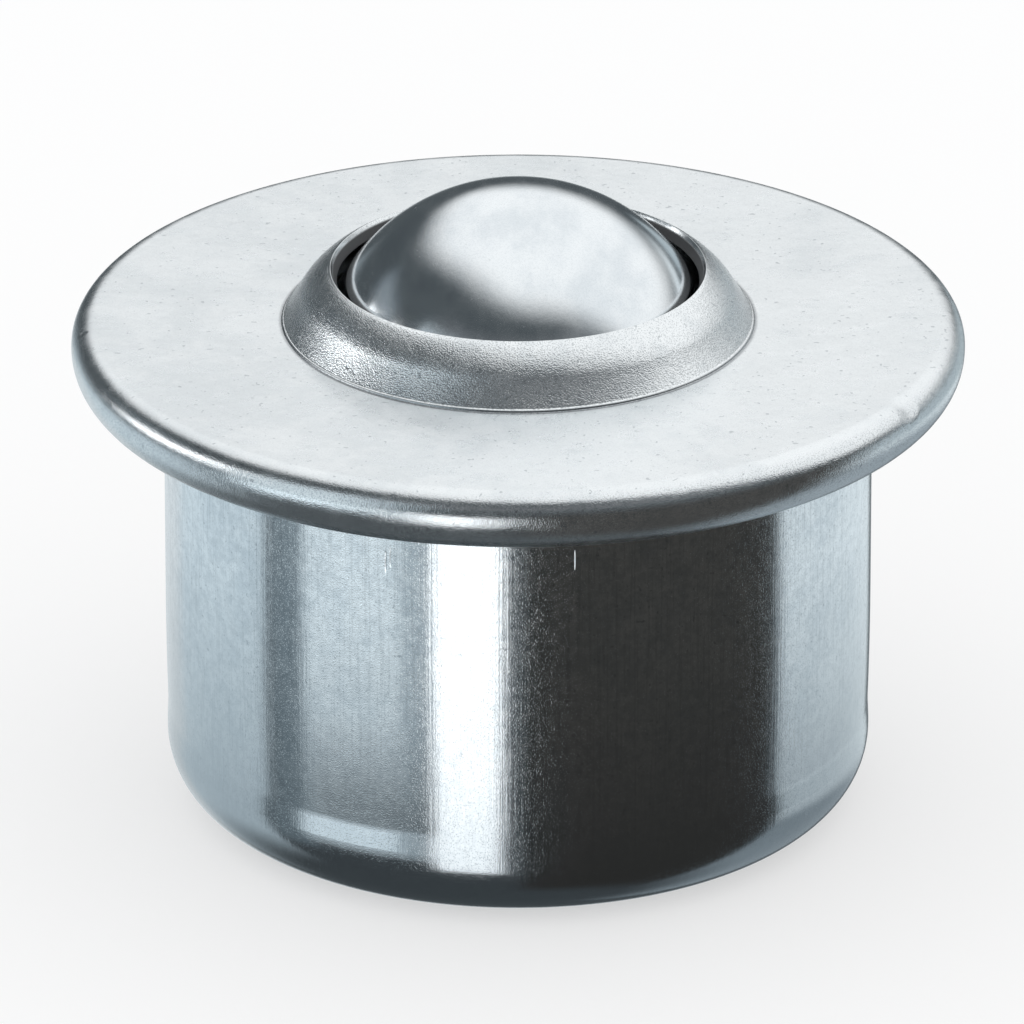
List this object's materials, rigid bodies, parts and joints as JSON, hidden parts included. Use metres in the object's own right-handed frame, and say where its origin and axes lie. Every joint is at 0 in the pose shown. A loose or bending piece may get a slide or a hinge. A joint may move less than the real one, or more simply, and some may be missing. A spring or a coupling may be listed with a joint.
{
  "type": "ball transfer unit",
  "caption": "Drop-in ball transfer unit: drawn round housing, flange with rolled rim and raised collar, and a polished load ball on a bed of small balls.",
  "frame": {"origin": "on the unit's axis, in the plane of the seat under the rolled rim", "axes": "+Z along the axis towards the load ball; the unit is turned about Z, so X and Y are free choices"},
  "size_m": [0.048, 0.048, 0.0348],
  "materials": {
    "drawn_steel": "zinc-plated drawn steel with fine upright draw marks",
    "plated_cap": "satin zinc-plated pressing, pale and faintly mottled, with a fine orange-peel grain on its bends",
    "hardened_race": "hardened pressed steel, oiled",
    "polished_ball": "polished hard steel with light handling marks",
    "support_balls": "polished bearing steel, oiled"
  },
  "bodies": {
    "housing": {"housing": "drawn_steel", "cap": "plated_cap", "race_cup": "hardened_race"},
    "ball_bed": {"support_ball_01": "support_balls", "support_ball_02": "support_balls", "support_ball_03": "support_balls", "support_ball_04": "support_balls", "support_ball_05": "support_balls", "support_ball_06": "support_balls", "support_ball_07": "support_balls", "support_ball_08": "support_balls", "support_ball_09": "support_balls", "support_ball_10": "support_balls", "support_ball_11": "support_balls", "support_ball_12": "support_balls", "support_ball_13": "support_balls", "support_ball_14": "support_balls", "support_ball_15": "support_balls", "support_ball_16": "support_balls", "support_ball_17": "support_balls", "support_ball_18": "support_balls", "support_ball_19": "support_balls", "support_ball_20": "support_balls", "support_ball_21": "support_balls", "support_ball_22": "support_balls", "support_ball_23": "support_balls", "support_ball_24": "support_balls", "support_ball_25": "support_balls", "support_ball_26": "support_balls", "support_ball_27": "support_balls", "support_ball_28": "support_balls", "support_ball_29": "support_balls", "support_ball_30": "support_balls", "support_ball_31": "support_balls", "support_ball_32": "support_balls", "support_ball_33": "support_balls", "support_ball_34": "support_balls", "support_ball_35": "support_balls", "support_ball_36": "support_balls", "support_ball_37": "support_balls", "support_ball_38": "support_balls", "support_ball_39": "support_balls", "support_ball_40": "support_balls", "support_ball_41": "support_balls", "support_ball_42": "support_balls", "support_ball_43": "support_balls", "support_ball_44": "support_balls", "support_ball_45": "support_balls", "support_ball_46": "support_balls", "support_ball_47": "support_balls", "support_ball_48": "support_balls", "support_ball_49": "support_balls"},
    "load_ball": {"load_ball": "polished_ball"}
  },
  "joints": [
    {"name": "bed_turn", "type": "hinge", "parent": "housing", "child": "ball_bed", "pos_m": [0, 0, -0.00022], "axis": [0, 0, 1], "continuous": true},
    {"name": "ball_roll", "type": "hinge", "parent": "ball_bed", "child": "load_ball", "pos_m": [0, 0, -0.00022], "axis": [1, 0, 0], "continuous": true}
  ]
}
